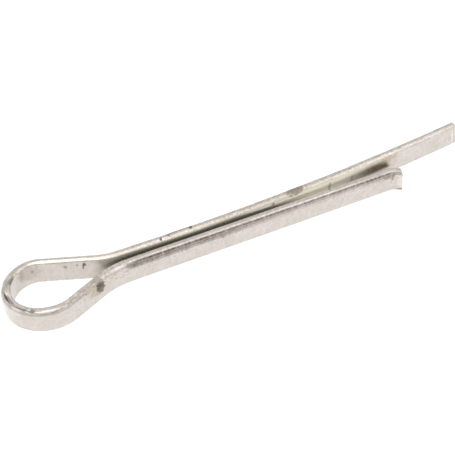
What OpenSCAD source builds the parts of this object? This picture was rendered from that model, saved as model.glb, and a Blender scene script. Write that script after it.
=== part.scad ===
// Extended-prong cotter pin, bent in one piece from flattened half-round wire.
// Millimetres. The pin lies on the narrow edge of its wire: +Z is up, +X runs along
// the shank from the eye to the tips, and the long leg is on the +Y side. The origin
// is the middle of the pin's box, on the surface that the pin lies on.

/* [Wire] */
// Height of the wire across its flat inner side
wire_height = 4.3; // [3.2:0.1:6]
// Thickness of the wire, from its flat inner side to its back
wire_thick = 1.5; // [1.1:0.05:2]
// Rounding of the two corners at the wire's back
back_round = 0.65; // [0.2:0.05:0.8]
// Rounding of the two corners beside the flat inner side
inner_round = 0.1; // [0.05:0.05:0.2]

/* [Eye] */
// Inside radius of the eye round its crown
crown_r = 4.05; // [3.2:0.05:6]
// Turn of the crown on the short leg's side, up to its shoulder
crown_turn = 45; // [30:1:60]
// Inside radius of that shoulder, which is wider than the crown
shoulder_r = 5.7; // [4.5:0.1:7]
// Angle between the shank and the eye's straight side on the long leg
long_spread = 18.8; // [15:0.1:26]
// Angle between the shank and the eye's straight side on the short leg
short_spread = 24.5; // [18:0.1:28]
// Radius of the inner side where the eye bends into the long leg
long_neck_r = 9.7; // [5:0.1:15]
// Radius of the inner side where the eye bends into the short leg
short_neck_r = 11.4; // [5:0.1:15]

/* [Legs] */
// Gap between the legs where they leave the eye
neck_gap = 1.1; // [0.8:0.1:2]
// Length of the long leg, from the end of its neck bend to its tip
long_leg = 63.5; // [40:0.5:80]
// Length of the short leg, from the end of its neck bend to its tip
short_leg = 48; // [30:0.5:60]
// Angle at which the long leg first leans in towards the gap
long_lean = 0.5; // [0:0.1:0.8]
// Angle at which the short leg first leans in towards the gap
short_lean = 0.7; // [0:0.1:1]
// How far the long leg's tip is bent outwards from that first line
long_bow = 4.5; // [3:0.1:8]
// How far the short leg's tip is bent outwards from that first line
short_bow = -0.2; // [-0.3:0.1:2]

/* [Cut ends] */
// Length of leg that the shear bent at each tip
cut_length = 2; // [0.5:0.1:4]
// How far the shear pushed the long leg's tip outwards
long_flare = 0; // [0:0.05:1]
// How far the shear pushed the short leg's tip outwards
short_flare = 0.7; // [0:0.05:1]

/* [Hidden] */
zinc = "#c9c2b8";
// Turn between two rings of the sweep on a bend, in degrees
bend_step = 4;
// Rings along a leg, and along the sheared end of it
leg_steps = 16;
cut_steps = 4;
// Facets on each corner of the wire
back_steps = 4;
inner_steps = 2;

// A stop is [x, y, heading] on the wire's inner side, with the crown of the eye on -X.
// Both sides of the pin are worked out above the X axis, from the crown to the tip.
function turned(stop, r, turn) =
    let (k = r * sign(turn), end = stop.z + turn)
    [stop.x + k * (sin(end) - sin(stop.z)), stop.y - k * (cos(end) - cos(stop.z)), end];

function moved(stop, along, out = 0, twist = 0) = [
    stop.x + along * cos(stop.z) - out * sin(stop.z),
    stop.y + along * sin(stop.z) + out * cos(stop.z),
    stop.z + twist
];

function bend(stop, r, turn) =
    let (steps = ceil(abs(turn) / bend_step))
    [for (i = [1:steps]) turned(stop, r, turn * i / steps)];

// The place on a leg at distance d from its root: a shallow bow, then the sheared end
function on_leg(root, length, bow, flare, d) =
    let (
        part = d / length,
        cut_part = max(0, d - (length - cut_length)) / cut_length,
        flared = moved([0, 0, atan(2 * bow * part / length)], 0, flare * pow(cut_part, 2))
    )
    moved(root, d + flared.x, bow * pow(part, 2) + flared.y, flared.z);

function leg(root, length, bow, flare) =
    let (plain = length - cut_length)
    [
        for (i = [1:leg_steps]) on_leg(root, length, bow, flare, plain * i / leg_steps),
        for (i = [1:cut_steps]) on_leg(root, length, bow, flare, plain + cut_length * i / cut_steps)
    ];

// One side of the pin: crown, shoulder, straight side of the eye, neck bend and leg
function side(side_r, spread, neck_r, length, lean, bow, flare) =
    let (
        crown = [-crown_r, 0, 90],
        shoulder = turned(crown, crown_r, -crown_turn),
        shoulder_turn = 90 + spread - crown_turn,
        flank = turned(shoulder, side_r, -shoulder_turn),
        drop = flank.y - neck_r * (cos(lean) - cos(spread)) - neck_gap / 2,
        neck = moved(flank, drop / sin(spread)),
        root = turned(neck, neck_r, spread - lean)
    )
    concat(
        [crown],
        bend(crown, crown_r, -crown_turn),
        bend(shoulder, side_r, -shoulder_turn),
        [neck],
        bend(neck, neck_r, spread - lean),
        leg(root, length, bow, flare)
    );

// The wire's section as [distance out from the flat inner side, height]
function corner(x, z, r, start, steps) =
    [for (i = [0:steps]) [x + r * cos(start + 90 * i / steps), z + r * sin(start + 90 * i / steps)]];

section = concat(
    corner(wire_thick - back_round, back_round, back_round, -90, back_steps),
    corner(wire_thick - back_round, wire_height - back_round, back_round, 0, back_steps),
    corner(inner_round, wire_height - inner_round, inner_round, 90, inner_steps),
    corner(inner_round, inner_round, inner_round, 180, inner_steps)
);

// The section set up at a stop. facing is 1 on the long leg's side and -1 on the other.
function ring(stop, facing) =
    [for (p = section) [stop.x - p.x * sin(stop.z), facing * (stop.y + p.x * cos(stop.z)), p.y]];

long_side = side(crown_r, long_spread, long_neck_r, long_leg, long_lean, long_bow, long_flare);
short_side = side(shoulder_r, short_spread, short_neck_r, short_leg, short_lean, short_bow, short_flare);
rings = [
    for (i = [len(long_side) - 1:-1:0]) ring(long_side[i], 1),
    for (i = [1:len(short_side) - 1]) ring(short_side[i], -1)
];

// Closed skin over a row of rings
module swept(rings) {
    n = len(rings[0]);
    last = len(rings) - 1;
    points = [for (r = rings) each r];
    walls = [
        for (i = [0:last - 1], j = [0:n - 1])
            [i * n + j, i * n + (j + 1) % n, (i + 1) * n + (j + 1) % n, (i + 1) * n + j]
    ];
    start_cap = [for (j = [n - 1:-1:0]) j];
    end_cap = [for (j = [0:n - 1]) last * n + j];
    polyhedron(points, concat(walls, [start_cap, end_cap]));
}

module cotter_pin() {
    xs = [for (r = rings, p = r) p.x];
    ys = [for (r = rings, p = r) p.y];
    middle = [(min(xs) + max(xs)) / 2, (min(ys) + max(ys)) / 2, 0];
    color(zinc)
        translate(-middle)
            swept(rings);
}

cotter_pin();
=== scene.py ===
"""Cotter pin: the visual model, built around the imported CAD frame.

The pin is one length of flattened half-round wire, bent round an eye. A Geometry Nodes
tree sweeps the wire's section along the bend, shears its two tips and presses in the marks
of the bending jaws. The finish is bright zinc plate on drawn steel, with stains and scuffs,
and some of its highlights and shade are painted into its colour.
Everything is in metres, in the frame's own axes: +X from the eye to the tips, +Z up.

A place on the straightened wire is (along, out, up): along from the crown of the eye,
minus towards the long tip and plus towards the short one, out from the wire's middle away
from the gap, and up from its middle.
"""
import math

import bpy
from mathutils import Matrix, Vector


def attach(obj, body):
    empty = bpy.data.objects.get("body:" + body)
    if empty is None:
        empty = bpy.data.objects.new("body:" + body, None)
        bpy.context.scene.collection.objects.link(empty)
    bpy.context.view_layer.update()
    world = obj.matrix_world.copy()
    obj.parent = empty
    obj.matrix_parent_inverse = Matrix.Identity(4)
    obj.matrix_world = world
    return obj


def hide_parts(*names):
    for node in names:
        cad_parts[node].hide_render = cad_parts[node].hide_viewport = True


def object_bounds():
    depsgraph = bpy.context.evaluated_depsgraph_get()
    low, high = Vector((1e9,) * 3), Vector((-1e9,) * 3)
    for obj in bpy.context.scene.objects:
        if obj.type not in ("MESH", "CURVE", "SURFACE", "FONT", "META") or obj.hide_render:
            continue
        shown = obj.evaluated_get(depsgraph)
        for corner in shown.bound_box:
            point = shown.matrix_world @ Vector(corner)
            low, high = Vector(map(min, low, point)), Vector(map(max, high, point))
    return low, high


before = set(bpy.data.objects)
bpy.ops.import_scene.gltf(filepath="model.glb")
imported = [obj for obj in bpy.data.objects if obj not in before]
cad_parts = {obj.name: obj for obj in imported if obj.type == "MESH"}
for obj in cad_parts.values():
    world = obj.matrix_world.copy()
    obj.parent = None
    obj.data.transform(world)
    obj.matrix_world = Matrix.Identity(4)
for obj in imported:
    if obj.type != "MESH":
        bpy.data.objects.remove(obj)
CAD_LOW, CAD_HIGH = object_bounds()

MM = 0.001

# --- The pin's sizes, as in its CAD source -------------------------------------------
WIRE_HEIGHT = 4.3 * MM
WIRE_THICK = 1.5 * MM
BACK_ROUND = 0.65 * MM
CROWN_R = 4.05 * MM
CROWN_TURN = math.radians(45)
NECK_GAP = 1.1 * MM
# A side is its shoulder's radius, its flank's spread and its neck's radius, and then its
# leg's length, how far the leg leans in at first and how far it bows out over its length
LONG_SIDE = dict(
    side_r=CROWN_R, spread=math.radians(18.8), neck_r=9.7 * MM,
    length=63.5 * MM, lean=math.radians(0.5), bow=4.5 * MM,
)
SHORT_SIDE = dict(
    side_r=5.7 * MM, spread=math.radians(24.5), neck_r=11.4 * MM,
    length=48.0 * MM, lean=math.radians(0.7), bow=-0.2 * MM,
)
SHORT_FLARE = 0.7 * MM

# --- Finer sizes that only the visual model has --------------------------------------
RING_SPACING = 0.2 * MM
SECTION_SPACING = 0.09 * MM
INNER_ROUND = 0.05 * MM
ROUNDING_STEPS = 24
ROLL_WAVES = 0.03 * MM
HAMMERING = 0.04 * MM
# The narrow edges are slightly crowned, because rolling doesn't leave them flat. An edge
# falls by the square of the way from the crown's line times EDGE_CROWN, and towards the gap
# it falls away straight once it is CROWN_REACH from the line.
EDGE_CROWN = 0.155 / MM
CROWN_REACH = 0.32 * MM
# Bending twists the wire a little, so the crown's line wanders across it. Each stop is a
# place along the wire and how far out from the wire's middle the line is there.
CROWN_LINE = [(along * MM, out * MM) for along, out in (
    (-76, 0.15), (-68, 0.1), (-60, -0.15), (-52, 0.0), (-45, -0.1), (-35, -0.1), (-22, -0.12),
    (-17, 0.0), (-8, 0.0), (-5, -0.45), (-2, -0.6), (1.5, 0.4), (4.5, 0.6), (6, 0.1),
    (7.5, 0.1), (9, 0.5), (14, 0.55), (17, 0.45), (19.5, 0.4), (22, -0.1), (50, -0.05),
    (66, 0.0),
)]
# Both tips were sheared aslant. A cut is how far its middle stands back from the tip, how
# much further for each step out and for each step up, the rolled-over rim's radius and how
# far the shear bent the tip out, in a lip that starts at a crease.
LONG_CUT = dict(back=0.53 * MM, per_out=-0.37, per_up=0.21, rim=0.45 * MM, flare=0.0)
SHORT_CUT = dict(back=-0.03 * MM, per_out=0.22, per_up=0.1, rim=0.12 * MM, flare=SHORT_FLARE)
CUT_BLEND = 4.0 * MM
LIP_LENGTH = 1.5 * MM
LIP_CURVE = 1.3
# The shear tore a ragged burr on each cut, and a leg's rings stop a little short of its full
# length to leave room for it
RAGGED_LENGTH = 0.5 * MM
BURR = 0.05 * MM
BURR_ROOM = 0.22 * MM
# A cut is closed by rings round its rim and then over its face, as far as a slit along its
# middle. Each ring of the face stands a hair ahead of the one outside it.
RIM_RINGS = 6
FACE_SPACING = 0.1 * MM
FACE_CREEP = 0.002 * MM
FACE_MIDDLE = 0.02 * MM

# What each ring of the wire tells the sweep, as attributes of its path
RING_VECTORS = ("place", "out", "on", "slant")
RING_NUMBERS = ("along", "line", "ragged", "inset")

# A Mix node's sockets by their place, because its numbers and colours share their names
NUMBER_A, NUMBER_B = 2, 3
COLOUR_A, COLOUR_B, COLOUR_OUT = 6, 7, 2


def linear(hex_colour):
    """An sRGB hex colour as linear red, green, blue and alpha."""
    parts = [int(hex_colour[i:i + 2], 16) / 255 for i in (1, 3, 5)]
    return (*[c / 12.92 if c <= 0.04045 else ((c + 0.055) / 1.055) ** 2.4 for c in parts], 1.0)


def add(tree, kind, links=None, **settings):
    """A node of that kind in tree, with its settings, and its inputs linked or set."""
    made = tree.nodes.new(kind)
    for name, value in settings.items():
        setattr(made, name, value)
    for key, value in (links or {}).items():
        if isinstance(value, bpy.types.Node):
            value = value.outputs[0]
        if isinstance(value, bpy.types.NodeSocket):
            tree.links.new(value, made.inputs[key])
        else:
            made.inputs[key].default_value = value
    return made


# --- The bend: stops are (x, y, heading) on the wire's inner side ---------------------
def turned(stop, radius, turn):
    """The stop reached by turning through an angle at a radius."""
    x, y, heading = stop
    swing = math.copysign(radius, turn)
    end = heading + turn
    return (
        x + swing * (math.sin(end) - math.sin(heading)),
        y - swing * (math.cos(end) - math.cos(heading)),
        end,
    )


def moved(stop, along, out=0.0, twist=0.0):
    """The stop reached by going along the heading and out to its left."""
    x, y, heading = stop
    return (
        x + along * math.cos(heading) - out * math.sin(heading),
        y + along * math.sin(heading) + out * math.cos(heading),
        heading + twist,
    )


def shares(length, spacing=RING_SPACING):
    """Even shares of a length, ending on 1, no further apart than the spacing."""
    count = max(1, math.ceil(length / spacing))
    return [(i + 1) / count for i in range(count)]


def side_of_pin(side_r, spread, neck_r, length, lean, bow):
    """The stops from the crown to a tip, above the X axis, and how much leg each has left."""
    crown = (-CROWN_R, 0.0, math.pi / 2)
    shoulder = turned(crown, CROWN_R, -CROWN_TURN)
    shoulder_turn = math.pi / 2 + spread - CROWN_TURN
    flank = turned(shoulder, side_r, -shoulder_turn)
    drop = flank[1] - neck_r * (math.cos(lean) - math.cos(spread)) - NECK_GAP / 2
    flank_length = drop / math.sin(spread)
    neck = moved(flank, flank_length)
    neck_turn = spread - lean
    root = turned(neck, neck_r, neck_turn)
    stops = [crown]
    stops += [turned(crown, CROWN_R, -CROWN_TURN * s) for s in shares(CROWN_R * CROWN_TURN)]
    stops += [turned(shoulder, side_r, -shoulder_turn * s) for s in shares(side_r * shoulder_turn)]
    stops += [moved(flank, flank_length * s) for s in shares(flank_length)]
    stops += [turned(neck, neck_r, neck_turn * s) for s in shares(neck_r * neck_turn)]
    left = [length] * len(stops)
    end = length - BURR_ROOM
    for share in shares(end):
        gone = end * share
        sprung = bow * (gone / length) ** 2
        stops.append(moved(root, gone, sprung, math.atan(2 * bow * gone / length ** 2)))
        left.append(end - gone)
    return stops, left


def crown_line(along):
    """How far out the highest line of the crown is at a place along the wire."""
    for (start, before), (end, after) in zip(CROWN_LINE, CROWN_LINE[1:]):
        if along < end:
            share = max(0.0, (along - start) / (end - start))
            return before + (after - before) * share
    return CROWN_LINE[-1][1]


def ring_at(stop, left, along, cut, facing):
    """The wire's ring at a stop. Facing is -1 on the long side and 1 on the short one.

    A ring is a dict: its place on the wire's middle line, the ways out and on to its tip, how
    far its cut slants it back, where along it lies, its crown line, how ragged it is and how
    far inset."""
    x, y, heading = stop
    out = Vector((-math.sin(heading), -facing * math.cos(heading), 0))
    flared = cut["flare"] * max(0.0, 1 - left / LIP_LENGTH) ** LIP_CURVE
    slanted = max(0.0, 1 - left / CUT_BLEND)
    return dict(
        place=Vector((x, -facing * y, 0)) + out * (WIRE_THICK / 2 + flared),
        out=out,
        on=Vector((math.cos(heading), -facing * math.sin(heading), 0)),
        slant=Vector((cut["back"], cut["per_out"], cut["per_up"])) * slanted,
        along=facing * along,
        line=crown_line(facing * along),
        ragged=max(0.0, 1 - left / RAGGED_LENGTH),
        inset=0.0,
    )


def cut_face_rings(last, facing, rim_r):
    """Rings that roll over the rim of a cut and then close in over its face."""
    quarter = [math.pi / 2 * (i + 1) / RIM_RINGS for i in range(RIM_RINGS)]
    rim = [(rim_r * math.sin(a), rim_r * (1 - math.cos(a))) for a in quarter]
    reach = WIRE_THICK / 2 - rim_r - FACE_MIDDLE
    face = [
        (rim_r + FACE_CREEP * (i + 1), rim_r + reach * share)
        for i, share in enumerate(shares(reach, FACE_SPACING))
    ]
    return [
        dict(last, place=last["place"] + last["on"] * ahead,
             along=last["along"] + facing * ahead, inset=inset)
        for ahead, inset in rim + face
    ]


def wire_rings():
    """Every ring of the wire from the long tip round the eye to the short tip."""
    halves = []
    for side, cut, facing in ((LONG_SIDE, LONG_CUT, -1), (SHORT_SIDE, SHORT_CUT, 1)):
        half = []
        stops, leg_left = side_of_pin(**side)
        before, along = stops[0], 0.0
        for stop, left in zip(stops, leg_left):
            along += math.dist(stop[:2], before[:2])
            before = stop
            half.append(ring_at(stop, left, along, cut, facing))
        halves.append(half + cut_face_rings(half[-1], facing, cut["rim"]))
    long_half, short_half = halves
    return long_half[::-1] + short_half[1:]


def path_mesh(rings):
    """The rings' places as a chain of edges, with what each ring needs as attributes.

    The chain is moved so that the wire's outer side meets the low sides of the CAD box."""
    out_side = [ring["place"] + ring["out"] * WIRE_THICK / 2 for ring in rings]
    shift = Vector((
        CAD_LOW.x - min(p.x for p in out_side),
        CAD_LOW.y - min(p.y for p in out_side),
        CAD_LOW.z + WIRE_HEIGHT / 2,
    ))
    for ring in rings:
        ring["place"] = ring["place"] + shift
    mesh = bpy.data.meshes.new("wire_path")
    mesh.from_pydata([ring["place"] for ring in rings], [(i, i + 1) for i in range(len(rings) - 1)], [])
    for name in RING_VECTORS:
        layer = mesh.attributes.new("ring_" + name, "FLOAT_VECTOR", "POINT")
        layer.data.foreach_set("vector", [c for ring in rings for c in ring[name]])
    for name in RING_NUMBERS:
        layer = mesh.attributes.new("ring_" + name, "FLOAT", "POINT")
        layer.data.foreach_set("value", [ring[name] for ring in rings])
    return mesh


# --- The Geometry Nodes tree that sweeps the wire ------------------------------------
def wire_tree():
    """The whole tree: it sweeps the section, sets out the rings and presses in the marks."""
    tree = bpy.data.node_groups.new("Cotter pin wire", "GeometryNodeTree")
    tree.interface.new_socket(name="Path", in_out="INPUT", socket_type="NodeSocketGeometry")
    for name in ("Height", "Thickness", "Back rounding", "Inner rounding", "Edge crown",
                 "Crown reach", "Section spacing", "Roll waves", "Hammering", "Burr"):
        tree.interface.new_socket(name=name, in_out="INPUT", socket_type="NodeSocketFloat")
    tree.interface.new_socket(name="Finish", in_out="INPUT", socket_type="NodeSocketMaterial")
    tree.interface.new_socket(name="Wire", in_out="OUTPUT", socket_type="NodeSocketGeometry")
    given = add(tree, "NodeGroupInput").outputs
    path = add(tree, "GeometryNodeMeshToCurve", {"Mesh": given["Path"]})
    swept = add(tree, "GeometryNodeCurveToMesh",
                {"Curve": path, "Profile Curve": wire_section(tree, given), "Fill Caps": True})
    outwards = add(tree, "GeometryNodeFlipFaces", {"Mesh": swept})
    rings = set_out_rings(tree, given, outwards)
    dented = press_marks(tree, given, rings)
    smooth = add(tree, "GeometryNodeSetShadeSmooth", {"Geometry": dented})
    real = add(tree, "GeometryNodeRealizeInstances", {"Geometry": smooth})
    done = add(tree, "GeometryNodeSetMaterial", {"Geometry": real, "Material": given["Finish"]})
    add(tree, "NodeGroupOutput", {"Wire": done})
    return tree


def wire_section(tree, given):
    """The wire's section: a rectangle, rounded more at the back.

    Its X runs out from the gap and its Y up. Both are kept as the attribute section."""
    box = add(tree, "GeometryNodeCurvePrimitiveQuadrilateral",
              {"Width": given["Thickness"], "Height": given["Height"]}, mode="RECTANGLE")
    at = add(tree, "ShaderNodeSeparateXYZ", {0: add(tree, "GeometryNodeInputPosition")}).outputs
    at_back = add(tree, "FunctionNodeCompare", {0: at["X"], 1: 0.0}, operation="GREATER_THAN")
    rounding = add(tree, "GeometryNodeSwitch",
                   {"Switch": at_back, "False": given["Inner rounding"], "True": given["Back rounding"]},
                   input_type="FLOAT")
    fillet = add(tree, "GeometryNodeFilletCurve",
                 {"Curve": box, "Count": ROUNDING_STEPS, "Radius": rounding, "Limit Radius": True},
                 mode="POLY")
    even = add(tree, "GeometryNodeResampleCurve",
               {"Curve": fillet, "Length": given["Section spacing"]}, mode="LENGTH")
    return add(tree, "GeometryNodeStoreNamedAttribute",
               {"Geometry": even, "Name": "section", "Value": add(tree, "GeometryNodeInputPosition")},
               data_type="FLOAT_VECTOR", domain="POINT")


def set_out_rings(tree, given, mesh):
    """Puts each point at its section place on its ring, crowned, inset, slanted and ragged.

    Keeps where the point lies on the straightened wire as the attribute on_wire."""
    kinds = {name: "FLOAT_VECTOR" for name in RING_VECTORS} | {name: "FLOAT" for name in RING_NUMBERS}
    ring = {
        name: add(tree, "GeometryNodeInputNamedAttribute", {"Name": "ring_" + name}, data_type=kind)
        for name, kind in kinds.items()
    }
    section = add(tree, "GeometryNodeInputNamedAttribute", {"Name": "section"}, data_type="FLOAT_VECTOR")
    across = add(tree, "ShaderNodeSeparateXYZ", {0: section}).outputs
    laid = add(tree, "ShaderNodeCombineXYZ", {"X": ring["along"], "Y": across["X"], "Z": across["Y"]})
    crowned = {"X": across["X"], "Y": crowned_height(tree, given, ring["line"], across)}
    kept = {}
    for axis, size in (("X", given["Thickness"]), ("Y", given["Height"])):
        half = add(tree, "ShaderNodeMath", {0: size, 1: 2.0}, operation="DIVIDE")
        lost = add(tree, "ShaderNodeMath", {0: ring["inset"], 1: half}, operation="DIVIDE")
        share = add(tree, "ShaderNodeMath", {0: 1.0, 1: lost}, operation="SUBTRACT")
        kept[axis] = add(tree, "ShaderNodeMath", {0: crowned[axis], 1: share}, operation="MULTIPLY")
    reach = add(tree, "ShaderNodeCombineXYZ", {"X": 1.0, "Y": kept["X"], "Z": kept["Y"]})
    slanted = add(tree, "ShaderNodeVectorMath", {0: reach, 1: ring["slant"]}, operation="DOT_PRODUCT")
    burr = torn_edge(tree, given, laid, ring["ragged"])
    ahead = add(tree, "ShaderNodeMath", {0: burr, 1: slanted.outputs["Value"]}, operation="SUBTRACT")
    onwards = add(tree, "ShaderNodeVectorMath", {0: ring["on"], "Scale": ahead}, operation="SCALE")
    outwards = add(tree, "ShaderNodeVectorMath", {0: ring["out"], "Scale": kept["X"]}, operation="SCALE")
    upwards = add(tree, "ShaderNodeCombineXYZ", {"Z": kept["Y"]})
    place = ring["place"]
    for step in (outwards, upwards, onwards):
        place = add(tree, "ShaderNodeVectorMath", {0: place, 1: step}, operation="ADD")
    put = add(tree, "GeometryNodeSetPosition", {"Geometry": mesh, "Position": place})
    return add(tree, "GeometryNodeStoreNamedAttribute", {"Geometry": put, "Name": "on_wire", "Value": laid},
               data_type="FLOAT_VECTOR", domain="POINT")


def crowned_height(tree, given, line, across):
    """A point's height with the crown's fall taken off, most at the top and bottom edges.

    The fall is the square of the way from the crown's line, less the square of what lies past
    the reach towards the gap: that leaves a straight slope there."""
    off_line = add(tree, "ShaderNodeMath", {0: across["X"], 1: line}, operation="SUBTRACT")
    square = add(tree, "ShaderNodeMath", {0: off_line, 1: off_line}, operation="MULTIPLY")
    past = add(tree, "ShaderNodeMath", {0: off_line, 1: given["Crown reach"]}, operation="ADD")
    past = add(tree, "ShaderNodeMath", {0: past, 1: 0.0}, operation="MINIMUM")
    straight = add(tree, "ShaderNodeMath", {0: past, 1: past}, operation="MULTIPLY")
    fall = add(tree, "ShaderNodeMath", {0: square, 1: straight}, operation="SUBTRACT")
    fall = add(tree, "ShaderNodeMath", {0: fall, 1: given["Edge crown"]}, operation="MULTIPLY")
    half = add(tree, "ShaderNodeMath", {0: given["Height"], 1: 2.0}, operation="DIVIDE")
    share = add(tree, "ShaderNodeMath", {0: across["Y"], 1: half}, operation="DIVIDE")
    lost = add(tree, "ShaderNodeMath", {0: fall, 1: share}, operation="MULTIPLY")
    return add(tree, "ShaderNodeMath", {0: across["Y"], 1: lost}, operation="SUBTRACT")


def torn_edge(tree, given, laid, ragged):
    """How far the burr of a cut stands out or back at a place, in tears some 1 mm wide."""
    tearing = add(tree, "ShaderNodeTexNoise", {"Vector": laid, "Scale": 0.9 / MM, "Detail": 2.0})
    torn = add(tree, "ShaderNodeMapRange", {"Value": tearing, "From Min": 0.3, "From Max": 0.7,
                                            "To Min": -1.0, "To Max": 1.0})
    burr = add(tree, "ShaderNodeMath", {0: torn, 1: given["Burr"]}, operation="MULTIPLY")
    return add(tree, "ShaderNodeMath", {0: burr, 1: ragged}, operation="MULTIPLY")


# Marks pressed into the wire: middle, half size and depth in millimetres on the wire, and
# how far some of them lean towards the eye, in degrees
DENTS = {
    "crease behind the short tip": ((67.05, 0.8, 1.3), (0.3, 0.6, 1.1), 0.1, -14),
    "hollow in the short tip's cut": ((69.15, 0.6, -0.1), (0.4, 1.3, 1.1), 0.25),
    "jaw mark on the crown": ((-2.6, -0.4, 2.1), (0.9, 0.5, 0.5), 0.06),
    "jaw mark past the crown": ((1.2, 0.3, 2.0), (1.6, 0.4, 0.5), 0.06),
    "nick on the crown": ((4.3, 0.1, 2.1), (0.5, 0.5, 0.4), 0.06),
    "scuff on the long leg": ((-50.6, 0.0, 2.1), (1.6, 0.9, 0.5), 0.03),
    "nick on the long leg": ((-32.0, 0.1, 2.1), (0.35, 0.6, 0.4), 0.05),
    "second nick on the long leg": ((-27.0, -0.4, 2.1), (0.3, 0.5, 0.4), 0.04),
}


def reach_of_mark(tree, laid, middle, half, lean=0.0):
    """How far out in a mark a place is: 0 in its middle and 1 at its edge."""
    off = add(tree, "ShaderNodeVectorMath", {0: laid, 1: middle}, operation="SUBTRACT")
    if lean:
        off = add(tree, "ShaderNodeVectorRotate", {"Vector": off, "Angle": math.radians(lean)},
                  rotation_type="Y_AXIS")
    off = add(tree, "ShaderNodeVectorMath", {0: off, 1: half}, operation="DIVIDE")
    return add(tree, "ShaderNodeVectorMath", {0: off}, operation="LENGTH").outputs["Value"]


def press_marks(tree, given, mesh):
    """Draws the surface in where the wire was rolled unevenly, hammered and gripped."""
    laid = add(tree, "GeometryNodeInputNamedAttribute", {"Name": "on_wire"}, data_type="FLOAT_VECTOR")
    # Roll waves are some 5 mm long and 2 mm wide
    waves_at = add(tree, "ShaderNodeVectorMath", {0: laid, 1: (0.2 / MM, 0.5 / MM, 0.5 / MM)},
                   operation="MULTIPLY")
    waves = add(tree, "ShaderNodeTexNoise", {"Vector": waves_at, "Scale": 1.0, "Detail": 1.0})
    depth = add(tree, "ShaderNodeMath", {0: waves, 1: given["Roll waves"]}, operation="MULTIPLY")
    # Hammering shows on the wire's back alone, in blows some 0.9 mm long and 0.6 mm wide
    blows_at = add(tree, "ShaderNodeVectorMath", {0: laid, 1: (1.1 / MM, 1.6 / MM, 1.6 / MM)},
                   operation="MULTIPLY")
    blows = add(tree, "ShaderNodeTexNoise", {"Vector": blows_at, "Scale": 1.0, "Detail": 1.5})
    out = add(tree, "ShaderNodeSeparateXYZ", {0: laid}).outputs["Y"]
    back = add(tree, "ShaderNodeMapRange", {"Value": out, "From Min": -0.3 * MM, "From Max": 0.4 * MM},
               interpolation_type="SMOOTHSTEP")
    beaten = add(tree, "ShaderNodeMath", {0: blows, 1: given["Hammering"]}, operation="MULTIPLY")
    beaten = add(tree, "ShaderNodeMath", {0: beaten, 1: back}, operation="MULTIPLY")
    depth = add(tree, "ShaderNodeMath", {0: depth, 1: beaten}, operation="ADD")
    for middle, half, deep, *lean in DENTS.values():
        reach = reach_of_mark(tree, laid, [c * MM for c in middle], [c * MM for c in half], *lean)
        dent = add(tree, "ShaderNodeMapRange",
                   {"Value": reach, "From Min": 1.0, "From Max": 0.0, "To Max": deep * MM},
                   interpolation_type="SMOOTHSTEP")
        depth = add(tree, "ShaderNodeMath", {0: depth, 1: dent}, operation="ADD")
    inwards = add(tree, "ShaderNodeMath", {0: depth, 1: -1.0}, operation="MULTIPLY")
    offset = add(tree, "ShaderNodeVectorMath",
                 {0: add(tree, "GeometryNodeInputNormal"), "Scale": inwards}, operation="SCALE")
    return add(tree, "GeometryNodeSetPosition", {"Geometry": mesh, "Offset": offset})


def sweep_wire(path, inputs):
    """Runs the tree on the path and keeps its result as a plain mesh."""
    carrier = bpy.data.objects.new("wire_path", path)
    bpy.context.scene.collection.objects.link(carrier)
    tree = wire_tree()
    modifier = carrier.modifiers.new("sweep", "NODES")
    modifier.node_group = tree
    sockets = {s.name: s.identifier for s in tree.interface.items_tree if s.in_out == "INPUT"}
    for name, value in inputs.items():
        modifier[sockets[name]] = value
    graph = bpy.context.evaluated_depsgraph_get()
    mesh = bpy.data.meshes.new_from_object(carrier.evaluated_get(graph), depsgraph=graph)
    carrier.modifiers.remove(modifier)
    bpy.data.objects.remove(carrier)
    return mesh
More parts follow.
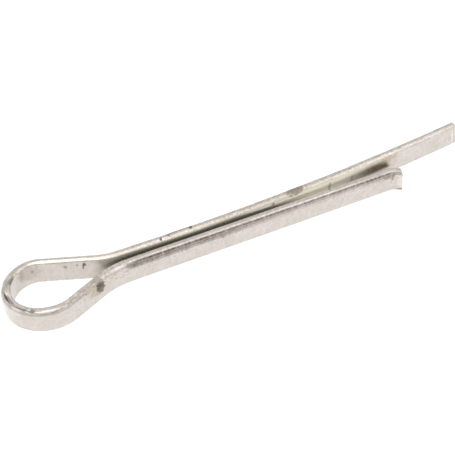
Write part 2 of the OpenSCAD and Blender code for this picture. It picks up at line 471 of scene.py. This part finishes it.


# --- Finishes: their places and sizes are in millimetres on the wire -----------------
# Stains on the plate, with painted highlights and painted shade among them: middle and half
# size, colour, strength and how far some of them lean towards the eye, in degrees
STAINS_AND_PAINTED_LIGHT = {
    # Painted highlight: the bright line along the long tip's rolled rim is laid as colour
    "painted highlight on the long tip's rim": ((-82.4, -0.75, 0.2), (0.15, 0.3, 1.9), "#f4ece4", 0.55),
    "dulled cut of the long tip": ((-83.0, -0.6, 0.0), (0.3, 0.6, 2.4), "#a89f95", 0.5),
    "smudge by the long tip": ((-81.8, -0.75, -0.7), (0.35, 0.3, 1.0), "#b3a08c", 0.35),
    "soot's pale edge": ((-69.3, -0.75, 0.5), (1.0, 0.3, 1.9), "#b8a590", 0.35),
    "soot smeared up": ((-67.8, -0.75, 1.3), (1.8, 0.3, 0.95), "#a8957c", 0.5),
    "scratch in the soot": ((-60.9, -0.75, 0.1), (0.28, 0.5, 1.0), "#4c4638", 0.4),
    "scratch in the gap": ((-56.6, -0.75, 0.7), (0.3, 0.5, 1.0), "#565040", 0.4),
    "speck in the gap": ((-46.1, -0.75, 1.5), (0.35, 0.5, 0.45), "#565040", 0.6),
    "scuff on the long leg": ((-50.4, -0.2, 2.1), (1.95, 0.95, 0.6), "#7d7064", 0.8),
    "rust nick": ((-32.0, 0.1, 2.1), (0.4, 0.5, 0.35), "#553d35", 0.8),
    "rust line": ((-29.8, 0.3, 2.1), (2.0, 0.22, 0.3), "#7a625a", 0.65),
    "rust speck": ((-28.3, 0.0, 2.1), (0.22, 0.4, 0.3), "#6b544c", 0.6),
    "dark nick": ((-26.9, -0.35, 2.1), (0.22, 0.45, 0.35), "#4f453c", 0.8),
    "large speck in the eye": ((-14.5, -0.75, 1.35), (0.32, 0.5, 0.42), "#4c463c", 0.75),
    "speck's tail": ((-14.3, -0.75, 0.7), (0.14, 0.5, 0.6), "#5d574b", 0.6),
    "small speck in the eye": ((-13.4, -0.75, 1.3), (0.25, 0.5, 0.3), "#6b6558", 0.5),
    "faint speck in the eye": ((-11.6, -0.75, 1.05), (0.4, 0.5, 0.4), "#6b6c60", 0.5),
    "smear by the crown": ((-5.9, -0.75, 0.6), (2.2, 0.5, 1.8), "#8d8576", 0.3),
    "streak in the smear": ((-4.8, -0.75, 0.9), (0.5, 0.5, 1.5), "#857e6c", 0.3),
    "mark in the smear": ((-6.6, -0.75, 0.6), (0.22, 0.5, 0.35), "#5b5548", 0.4),
    # Painted highlight: a bright patch where the crown's strip turns over its inner edge
    "painted highlight on the edge by the crown": ((-4.9, -0.7, 2.1), (0.8, 0.25, 0.25), "#f6f1ea", 0.6),
    "jaw mark": ((-2.5, -0.7, 2.0), (1.0, 0.45, 0.4), "#625f5c", 0.8),
    "edge dulled by the jaws": ((-2.2, -0.45, 2.1), (2.2, 0.5, 0.5), "#8a8680", 0.55),
    "blued jaw mark": ((0.8, -0.15, 2.1), (1.1, 0.26, 0.5), "#6f6983", 0.7),
    "brown edge of the jaw mark": ((0.3, 0.14, 2.1), (1.0, 0.18, 0.4), "#4f4234", 0.9),
    "jaw mark's tail": ((3.0, 0.04, 2.1), (1.6, 0.23, 0.4), "#5c5750", 0.75),
    # Painted highlight: a bright spot on the rounding by the jaw mark
    "painted highlight by the jaw mark": ((2.4, 0.36, 2.07), (0.9, 0.25, 0.2), "#f6f1ea", 0.5),
    "blued nick": ((4.5, 0.0, 2.1), (0.45, 0.5, 0.4), "#6d6a72", 0.7),
    # Painted highlight: a bright patch on the strip past the nick
    "painted highlight past the nick": ((6.4, 0.25, 2.1), (1.2, 0.2, 0.2), "#f4efe8", 0.5),
    "dulled edge of the long leg": ((-48.0, -0.55, 2.1), (17.0, 0.6, 0.35), "#8f8a83", 0.28),
    "dulled edge near the eye": ((-5.2, -0.55, 2.1), (1.3, 0.6, 0.35), "#8f8a83", 0.3),
    "dulled edge of the flank": ((11.6, 0.15, 2.1), (3.3, 0.5, 0.35), "#8f8a83", 0.45),
    "scratch past the crown": ((7.0, 0.42, 2.07), (1.5, 0.1, 0.2), "#5d5850", 0.4),
    "smear over the rust spot": ((15.0, 0.1, 2.1), (1.0, 0.8, 0.5), "#8a7d6c", 0.5),
    "rust tinge on the flank": ((13.0, 0.7, 1.3), (1.2, 0.6, 1.1), "#b09a70", 0.3),
    "rust halo on the flank": ((14.3, 0.75, 0.8), (1.4, 0.5, 1.3), "#8a7b63", 0.35),
    "rust spot on the flank": ((15.05, 0.75, 0.9), (0.95, 0.5, 1.2), "#5e5343", 0.8),
    "second rust spot on the flank": ((15.0, 0.7, 1.5), (0.95, 0.5, 0.7), "#5f513b", 0.6),
    # Painted highlight: a bright patch on the rounding by the neck
    "painted highlight by the neck": ((18.7, 0.4, 2.05), (1.8, 0.25, 0.22), "#f4efe6", 0.5),
    "smudge by the neck": ((21.2, 0.6, 1.75), (0.9, 0.4, 0.6), "#7d766c", 0.5),
    "speck on the rounding": ((36.4, 0.7, 1.45), (0.35, 0.4, 0.4), "#6b6660", 0.5),
    "scratch on the short leg": ((55.8, -0.6, 2.1), (0.2, 0.4, 0.4), "#6b6558", 0.5),
    # Painted light: the short tip's flared lip is lightened as colour, standing in for its shading
    "painted light on the short tip's lip": ((68.3, 0.75, 0.5), (0.7, 0.6, 1.9), "#e4ddd5", 0.5),
    # Painted shade: the crease behind the short tip is darkened as colour
    "painted shade in the crease": ((67.05, 0.8, 1.3), (0.3, 0.7, 1.1), "#625a50", 0.55, -14),
    # Painted shade beside that crease
    "painted shade beside the crease": ((66.2, 0.7, 1.6), (0.9, 0.5, 0.4), "#7c7368", 0.4),
    "dulled end of the short leg": ((68.3, 0.1, 2.1), (0.9, 0.8, 0.35), "#a39b90", 0.5),
    # The sheared edge's own dull colour, darkened further as painted shade along the lip's edge
    "torn edge of the short tip, with painted shade": ((69.0, 0.8, 0.0), (0.5, 0.9, 2.4), "#968c80", 0.55),
    # Painted shade: the underside of the flared lip is darkened as colour
    "painted shade under the lip": ((68.3, 0.9, -1.7), (0.8, 0.6, 0.4), "#6b6055", 0.7),
}

# The band that the bending jaws rubbed dark on the short leg's back rounding: its strength
# at stops along the leg, and where round the back it starts and ends, as out less up
RUBBED_BAND = {
    "core": (
        ((20.5, 0.0), (22.5, 0.97), (40.0, 0.9), (50.0, 0.7), (58.0, 0.75), (63.0, 0.95),
         (66.8, 0.85), (67.4, 0.0)),
        -2.03, -1.48,
    ),
    "skirt": (
        ((20.5, 0.0), (22.0, 0.7), (30.0, 0.65), (36.0, 0.55), (46.0, 0.2), (62.0, 0.15),
         (66.0, 0.4), (67.3, 0.0)),
        -1.45, -0.6,
    ),
}
# The length that the stops are shares of, because a curve runs from 0 to 1
BAND_REACH = 70.0


def zinc_plated_steel():
    """Bright zinc plate on drawn low-carbon steel: a soft, pale warm-grey mirror.

    Drawing leaves fine lines along the wire, and the thin plate clouds, stains brown where
    it is scuffed through, and yellows a little inside the gap."""
    material = bpy.data.materials.new("zinc_plated_steel")
    material.use_nodes = True
    tree = material.node_tree
    shader = tree.nodes["Principled BSDF"]
    shader.inputs["Metallic"].default_value = 1.0
    laid = add(tree, "ShaderNodeAttribute", attribute_name="on_wire").outputs["Vector"]
    mm = add(tree, "ShaderNodeVectorMath", {0: laid, "Scale": 1 / MM}, operation="SCALE")
    at = add(tree, "ShaderNodeSeparateXYZ", {0: mm}).outputs
    leg = add(tree, "ShaderNodeMath", {0: at["X"]}, operation="ABSOLUTE")

    film = gap_film(tree, leg, at["Y"])
    # Painted shade: the gap is darkened deep down, where the short leg shades the long leg's face
    gap_shade = add(tree, "ShaderNodeMath", {0: film, 1: gap_painted_shade(tree, leg, at["Z"])}, operation="MULTIPLY")
    # Painted shadow: the short leg's shadow on the long leg, laid as colour over a sooty stain
    soot_and_shadow = soot_and_shadow_wedge(tree, at)
    colour = plate_colour(tree, at, mm)
    # Over the plate lie, in turn, the gap's film, the painted shade deep in the gap, the sooty
    # stain with the short leg's shadow painted into it, and the jaws' rubbed band
    for amount, cover in (
        (film, "#dcd6c8"),
        (gap_shade, "#524e3a"),
        (soot_and_shadow, "#57452f"),
        (rubbed_band(tree, at, mm), "#5e554b"),
    ):
        colour = add(tree, "ShaderNodeMix", {"Factor": amount, COLOUR_A: colour, COLOUR_B: linear(cover)},
                     data_type="RGBA").outputs[COLOUR_OUT]
    colour, dull = stains_and_painted_light(tree, mm, colour, soot_and_shadow)

    # Drawn lines are 0.1 mm apart and run along the wire, and the plate's grain is 0.2 mm
    lines_at = add(tree, "ShaderNodeVectorMath", {0: mm, 1: (0.12, 9.0, 9.0)}, operation="MULTIPLY")
    lines = add(tree, "ShaderNodeTexNoise", {"Vector": lines_at, "Scale": 1.0, "Detail": 2.0})
    grain = add(tree, "ShaderNodeTexNoise", {"Vector": mm, "Scale": 6.0, "Detail": 3.0})
    relief = add(tree, "ShaderNodeMath", {0: lines, 1: grain}, operation="ADD")
    bump = add(tree, "ShaderNodeBump", {"Height": relief, "Strength": 0.25, "Distance": 0.02 * MM})
    # Stains, film and the jaws' blotches are rougher than the plate, and film is hardly metal
    rough = add(tree, "ShaderNodeMapRange", {"Value": lines, "From Min": 0.3, "From Max": 0.7,
                                             "To Min": 0.15, "To Max": 0.24})
    for amount, rougher in ((dull, 0.3), (film, 0.15), (beaten_flank(tree, at, mm), 0.2)):
        rough = add(tree, "ShaderNodeMath", {0: amount, 1: rougher, 2: rough}, operation="MULTIPLY_ADD")
    metal = add(tree, "ShaderNodeMath", {0: film, 1: -0.65, 2: 1.0}, operation="MULTIPLY_ADD")
    tree.links.new(colour, shader.inputs["Base Color"])
    tree.links.new(metal.outputs[0], shader.inputs["Metallic"])
    tree.links.new(rough.outputs[0], shader.inputs["Roughness"])
    tree.links.new(bump.outputs[0], shader.inputs["Normal"])
    return material


def plate_colour(tree, at, mm):
    """The bare plate's colour, in clouds some 2 mm wide, with specks and flecks of wear."""
    clouds = add(tree, "ShaderNodeTexNoise", {"Vector": mm, "Scale": 0.5, "Detail": 4.0, "Roughness": 0.65})
    cloudy = add(tree, "ShaderNodeMapRange", {"Value": clouds, "From Min": 0.3, "From Max": 0.7})
    colour = add(tree, "ShaderNodeMix",
                 {"Factor": cloudy, COLOUR_A: linear("#cfc8c4"), COLOUR_B: linear("#c6bfb6")},
                 data_type="RGBA").outputs[COLOUR_OUT]
    colour = add(tree, "ShaderNodeMix",
                 {"Factor": wear_specks(tree, at, mm), COLOUR_A: colour, COLOUR_B: linear("#746a58")},
                 data_type="RGBA").outputs[COLOUR_OUT]
    # The straightening rolls left lines across the wire, some 0.6 mm apart
    chatter_at = add(tree, "ShaderNodeVectorMath", {0: mm, 1: (1.7, 0.7, 0.7)}, operation="MULTIPLY")
    chatter = add(tree, "ShaderNodeTexNoise",
                  {"Vector": chatter_at, "Scale": 1.0, "Detail": 3.0, "Roughness": 0.7})
    shade = add(tree, "ShaderNodeMapRange", {"Value": chatter, "From Min": 0.3, "From Max": 0.7,
                                             "To Min": 0.93, "To Max": 1.04})
    shade = add(tree, "ShaderNodeMath", {0: shade, 1: edge_flecks(tree, at["Z"], mm)}, operation="MULTIPLY")
    return add(tree, "ShaderNodeVectorMath", {0: colour, "Scale": shade}, operation="SCALE")


def edge_flecks(tree, up, mm):
    """How bright the plate is on the narrow edges, worn in flecks some 0.6 mm long."""
    off_middle = add(tree, "ShaderNodeMath", {0: up}, operation="ABSOLUTE")
    edge = add(tree, "ShaderNodeMapRange", {"Value": off_middle, "From Min": 1.7, "From Max": 2.0})
    flecks_at = add(tree, "ShaderNodeVectorMath", {0: mm, 1: (1.7, 3.5, 3.5)}, operation="MULTIPLY")
    flecks = add(tree, "ShaderNodeTexNoise",
                 {"Vector": flecks_at, "Scale": 1.0, "Detail": 3.0, "Roughness": 0.7})
    worn = add(tree, "ShaderNodeMapRange", {"Value": flecks, "From Min": 0.35, "From Max": 0.6,
                                            "To Min": -0.2, "To Max": 0.06})
    return add(tree, "ShaderNodeMath", {0: edge, 1: worn, 2: 1.0}, operation="MULTIPLY_ADD")


def wear_specks(tree, at, mm):
    """How much dark wear shows in specks of some 0.4 mm: most on the short flank by the neck
    and on the long leg's upper edge, and a few everywhere."""
    noise = add(tree, "ShaderNodeTexNoise", {"Vector": mm, "Scale": 2.3, "Detail": 3.0, "Roughness": 0.7})
    specks = add(tree, "ShaderNodeMapRange", {"Value": noise, "From Min": 0.5, "From Max": 0.68})
    amount = 0.12
    for start, end, low, high, extra in (
        (8.0, 12.0, -0.6, 1.4, 0.4),
        (22.0, 30.0, -0.6, 1.4, -0.25),
        (-20.0, -24.0, 1.7, 2.0, 0.35),
    ):
        reached = add(tree, "ShaderNodeMapRange",
                      {"Value": at["X"], "From Min": start, "From Max": end, "To Max": extra})
        raised = add(tree, "ShaderNodeMapRange", {"Value": at["Z"], "From Min": low, "From Max": high})
        amount = add(tree, "ShaderNodeMath", {0: reached, 1: raised, 2: amount}, operation="MULTIPLY_ADD")
    return add(tree, "ShaderNodeMath", {0: specks, 1: amount}, operation="MULTIPLY")


def gap_film(tree, leg, out):
    """How much of a yellowed film there is: it lies on the legs' two faces inside the gap."""
    film = add(tree, "ShaderNodeMapRange", {"Value": out, "From Min": -0.7, "From Max": -0.74})
    for start, end in ((15.0, 20.0), (68.0, 63.0)):
        within = add(tree, "ShaderNodeMapRange", {"Value": leg, "From Min": start, "From Max": end})
        film = add(tree, "ShaderNodeMath", {0: film, 1: within}, operation="MULTIPLY")
    return film


def gap_painted_shade(tree, leg, up):
    """How much painted shade lies deep in the gap, where the short leg shades the other leg's
    inner face. It sinks where the legs part and climbs by the neck, and a thin veil of it runs
    on to the tips."""
    surface = add(tree, "ShaderNodeMapRange", {"Value": leg, "From Min": 40.0, "From Max": 51.0,
                                               "To Min": 1.72, "To Max": 0.3})
    climbed = add(tree, "ShaderNodeMapRange",
                  {"Value": leg, "From Min": 32.0, "From Max": 21.0, "To Max": 0.22})
    surface = add(tree, "ShaderNodeMath", {0: surface, 1: climbed}, operation="ADD")
    depth = add(tree, "ShaderNodeMath", {0: surface, 1: up}, operation="SUBTRACT")
    buried = add(tree, "ShaderNodeMapRange",
                 {"Value": depth, "From Min": -0.3, "From Max": 0.1, "To Max": 0.75})
    shallow = add(tree, "ShaderNodeMapRange", {"Value": leg, "From Min": 53.0, "From Max": 47.0})
    gap_shade = add(tree, "ShaderNodeMath", {0: buried, 1: shallow}, operation="MULTIPLY")
    veil = add(tree, "ShaderNodeMapRange", {"Value": up, "From Min": 1.8, "From Max": 0.7, "To Max": 0.3})
    by_tips = add(tree, "ShaderNodeMapRange", {"Value": leg, "From Min": 54.0, "From Max": 61.0})
    return add(tree, "ShaderNodeMath", {0: veil, 1: by_tips, 2: gap_shade}, operation="MULTIPLY_ADD")


def soot_and_shadow_wedge(tree, at):
    """How dark the wedge on the long leg's inner face is: a sooty stain with the short leg's
    shadow painted into it, cut off sharply beside the short tip and fading inwards, in slanting
    streaks some 0.5 mm wide."""
    aslant = add(tree, "ShaderNodeMath", {0: at["Z"], 1: -0.6, 2: at["X"]}, operation="MULTIPLY_ADD")
    wedge = add(tree, "ShaderNodeMapRange", {"Value": at["Y"], "From Min": -0.6, "From Max": -0.7})
    for place, start, end in (
        (aslant, -68.9, -67.7),
        (at["X"], -58.8, -65.8),
        (at["Z"], -1.3, -0.2),
        (at["Z"], 2.1, 0.6),
    ):
        side = add(tree, "ShaderNodeMapRange", {"Value": place, "From Min": start, "From Max": end},
                   interpolation_type="SMOOTHSTEP")
        wedge = add(tree, "ShaderNodeMath", {0: wedge, 1: side}, operation="MULTIPLY")
    drift_at = add(tree, "ShaderNodeCombineXYZ", {"X": aslant, "Y": at["Y"], "Z": at["Z"]})
    drift_at = add(tree, "ShaderNodeVectorMath", {0: drift_at, 1: (2.0, 1.0, 0.5)}, operation="MULTIPLY")
    drift = add(tree, "ShaderNodeTexNoise", {"Vector": drift_at, "Scale": 1.0, "Detail": 2.0})
    thin = add(tree, "ShaderNodeMapRange",
               {"Value": drift, "From Min": 0.3, "From Max": 0.65, "To Min": 0.93})
    return add(tree, "ShaderNodeMath", {0: wedge, 1: thin}, operation="MULTIPLY")


def rubbed_band(tree, at, mm):
    """How dark the rubbed band is: a core and a paler skirt, mottled by streaks across the
    wire, some 0.4 mm wide."""
    streaks_at = add(tree, "ShaderNodeVectorMath", {0: mm, 1: (2.6, 0.9, 0.9)}, operation="MULTIPLY")
    streaks = add(tree, "ShaderNodeTexNoise",
                  {"Vector": streaks_at, "Scale": 1.0, "Detail": 4.0, "Roughness": 0.7})
    mottled = add(tree, "ShaderNodeMapRange",
                  {"Value": streaks, "From Min": 0.36, "From Max": 0.6, "To Min": 0.5})
    round_back = add(tree, "ShaderNodeMath", {0: at["Y"], 1: at["Z"]}, operation="SUBTRACT")
    reached = add(tree, "ShaderNodeMath", {0: at["X"], 1: BAND_REACH}, operation="DIVIDE")
    band = 0.0
    for stops, low, high in RUBBED_BAND.values():
        strength = add(tree, "ShaderNodeFloatCurve", {"Value": reached})
        curve = strength.mapping.curves[0]
        curve.points[0].location = (0.0, stops[0][1])
        curve.points[1].location = (1.0, stops[-1][1])
        for place, value in stops:
            curve.points.new(place / BAND_REACH, value)
        for point in curve.points:
            point.handle_type = "VECTOR"
        strength.mapping.update()
        rise = add(tree, "ShaderNodeMapRange",
                   {"Value": round_back, "From Min": low - 0.12, "From Max": low + 0.12})
        fall = add(tree, "ShaderNodeMapRange",
                   {"Value": round_back, "From Min": high + 0.15, "From Max": high - 0.15})
        part = add(tree, "ShaderNodeMath", {0: rise, 1: fall}, operation="MULTIPLY")
        for share in (mottled, strength):
            part = add(tree, "ShaderNodeMath", {0: part, 1: share}, operation="MULTIPLY")
        band = add(tree, "ShaderNodeMath", {0: band, 1: part}, operation="MAXIMUM")
    return band


def stains_and_painted_light(tree, mm, colour, dull):
    """The colour with every stain, painted highlight and painted shade laid over it, and how dull they leave
    the plate.

    A stain's edge is frayed, in bits some 0.5 mm wide."""
    fray = add(tree, "ShaderNodeTexNoise", {"Vector": mm, "Scale": 2.2, "Detail": 4.0, "Roughness": 0.7})
    fray = add(tree, "ShaderNodeMapRange", {"Value": fray, "From Min": 0.3, "From Max": 0.7,
                                            "To Min": -0.35, "To Max": 0.35}, clamp=False)
    for middle, half, stain, strength, *lean in STAINS_AND_PAINTED_LIGHT.values():
        reach = reach_of_mark(tree, mm, middle, half, *lean)
        frayed = add(tree, "ShaderNodeMath", {0: fray, 1: reach}, operation="ADD")
        mask = add(tree, "ShaderNodeMapRange",
                   {"Value": frayed, "From Min": 1.15, "From Max": 0.55, "To Max": strength},
                   interpolation_type="SMOOTHSTEP")
        colour = add(tree, "ShaderNodeMix", {"Factor": mask, COLOUR_A: colour, COLOUR_B: linear(stain)},
                     data_type="RGBA").outputs[COLOUR_OUT]
        dull = add(tree, "ShaderNodeMath", {0: dull, 1: mask}, operation="MAXIMUM")
    return colour, dull


def beaten_flank(tree, at, mm):
    """How dull the top of the eye's short side is, where the jaws gripped it, in 0.5 mm blotches."""
    blotches = add(tree, "ShaderNodeTexNoise", {"Vector": mm, "Scale": 1.8, "Detail": 3.0, "Roughness": 0.7})
    gripped = add(tree, "ShaderNodeMapRange", {"Value": at["X"], "From Min": 7.5, "From Max": 9.0})
    for place, start, end in ((at["X"], 22.0, 18.0), (at["Z"], 1.0, 1.8), (blotches, 0.4, 0.55)):
        share = add(tree, "ShaderNodeMapRange", {"Value": place, "From Min": start, "From Max": end})
        gripped = add(tree, "ShaderNodeMath", {0: gripped, 1: share}, operation="MULTIPLY")
    return gripped


def lit_table():
    """Opal acrylic lit from below: an even white ground that takes hardly any shadow."""
    material = bpy.data.materials.new("opal_acrylic")
    material.use_nodes = True
    shader = material.node_tree.nodes["Principled BSDF"]
    shader.inputs["Base Color"].default_value = linear("#707070")
    shader.inputs["Roughness"].default_value = 0.85
    shader.inputs["Emission Color"].default_value = linear("#ffffff")
    shader.inputs["Emission Strength"].default_value = 1.02
    return material


# --- The pin -------------------------------------------------------------------------
def make_pin():
    """The whole pin, which is one piece of wire."""
    mesh = sweep_wire(path_mesh(wire_rings()), {
        "Height": WIRE_HEIGHT,
        "Thickness": WIRE_THICK,
        "Back rounding": BACK_ROUND,
        "Inner rounding": INNER_ROUND,
        "Edge crown": EDGE_CROWN,
        "Crown reach": CROWN_REACH,
        "Section spacing": SECTION_SPACING,
        "Roll waves": ROLL_WAVES,
        "Hammering": HAMMERING,
        "Burr": BURR,
        "Finish": zinc_plated_steel(),
    })
    mesh.name = "cotter_pin_wire"
    pin = bpy.data.objects.new("cotter_pin_wire", mesh)
    bpy.context.scene.collection.objects.link(pin)
    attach(pin, "root")
    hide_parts("cotter_pin")


# --- Studio --------------------------------------------------------------------------
VIEW_AZIMUTH = -24.09
VIEW_ELEVATION = 48.0
VIEW_DISTANCE = 169.2 * MM
VIEW_AIM = Vector((-4.16, 0.79, 2.15)) * MM
LENS = 85.04
TABLE_HALF = 1.5
LIGHT_DISTANCE = 0.6
WARM_WHITE = "#fff8ee"
# Paler patches of the room: azimuth, elevation, how far they reach and how far they are at
# full brightness, in degrees, and that brightness
ROOM_PATCHES = (
    (-90, 45, 50, 30, 1.0),
    (50, 48, 48, 28, 1.08),
    (109, 57, 22, 9, 1.95),
)


def direction(azimuth, elevation):
    """The way from the pin to a point of the studio, in degrees: azimuth 0 is towards -Y."""
    turn, rise = math.radians(azimuth), math.radians(elevation)
    return Vector((math.sin(turn) * math.cos(rise), -math.cos(turn) * math.cos(rise), math.sin(rise)))


def make_table():
    """A square white sheet under the pin."""
    mesh = bpy.data.meshes.new("table")
    corners = [
        (x * TABLE_HALF, y * TABLE_HALF, CAD_LOW.z)
        for x, y in ((-1, -1), (1, -1), (1, 1), (-1, 1))
    ]
    mesh.from_pydata(corners, [], [(0, 1, 2, 3)])
    mesh.materials.append(lit_table())
    table = bpy.data.objects.new("table", mesh)
    bpy.context.scene.collection.objects.link(table)


def hang_light(name, kind, turn, elevation, mirrored, **settings):
    """A light facing the pin, turned from the camera's side by an angle.

    One that isn't mirrored lights the table but isn't seen in the metal."""
    away = direction(VIEW_AZIMUTH + turn, elevation)
    data = bpy.data.lights.new(name, kind)
    for key, value in settings.items():
        setattr(data, key, value)
    light = bpy.data.objects.new(name, data)
    light.location = away * LIGHT_DISTANCE
    light.rotation_mode = "QUATERNION"
    light.rotation_quaternion = away.to_track_quat("Z", "Y")
    light.visible_glossy = mirrored
    bpy.context.scene.collection.objects.link(light)


def make_lights():
    """Two light boxes behind the pin and a low flood in front of it."""
    hang_light("back_softbox", "AREA", 208, 60, True, shape="RECTANGLE",
               size=0.17, size_y=0.19, energy=0.165, color=linear(WARM_WHITE)[:3])
    hang_light("back_screen", "AREA", 170, 60, True, shape="RECTANGLE",
               size=0.23, size_y=0.19, energy=0.1, color=linear(WARM_WHITE)[:3])
    hang_light("front_flood", "SUN", 12, 30, False, angle=math.radians(14), energy=2.8)


def make_room():
    """A pale room, a little brighter behind the pin, with three brighter patches."""
    world = bpy.data.worlds.new("studio")
    world.use_nodes = True
    tree = world.node_tree
    way = add(tree, "ShaderNodeTexCoord").outputs["Generated"]
    behind = direction(VIEW_AZIMUTH + 180, 0)
    depth = add(tree, "ShaderNodeVectorMath", {0: way, 1: behind},
                operation="DOT_PRODUCT").outputs["Value"]
    wall = add(tree, "ShaderNodeMapRange", {"Value": depth, "From Min": -0.5, "From Max": 0.3,
                                            "To Min": 0.85, "To Max": 0.95})
    for azimuth, elevation, outer, inner, brightness in ROOM_PATCHES:
        near = add(tree, "ShaderNodeVectorMath", {0: way, 1: direction(azimuth, elevation)},
                   operation="DOT_PRODUCT").outputs["Value"]
        patch = add(tree, "ShaderNodeMapRange", {"Value": near, "From Min": math.cos(math.radians(outer)),
                                                 "From Max": math.cos(math.radians(inner))})
        wall = add(tree, "ShaderNodeMix", {"Factor": patch, NUMBER_A: wall, NUMBER_B: brightness},
                   data_type="FLOAT")
    tree.links.new(wall.outputs[0], tree.nodes["Background"].inputs["Color"])
    bpy.context.scene.world = world


def make_camera():
    """A long lens, looking down on the pin from the side of its short leg."""
    back = direction(VIEW_AZIMUTH, VIEW_ELEVATION)
    data = bpy.data.cameras.new("camera")
    data.sensor_width = 36.0
    data.lens = LENS
    data.clip_start, data.clip_end = 0.01, 10.0
    camera = bpy.data.objects.new("camera", data)
    camera.location = VIEW_AIM + back * VIEW_DISTANCE
    camera.rotation_mode = "QUATERNION"
    camera.rotation_quaternion = (-back).to_track_quat("-Z", "Y")
    bpy.context.scene.collection.objects.link(camera)
    bpy.context.scene.camera = camera


bpy.context.scene.view_settings.view_transform = "Standard"
make_pin()
make_table()
make_lights()
make_room()
make_camera()
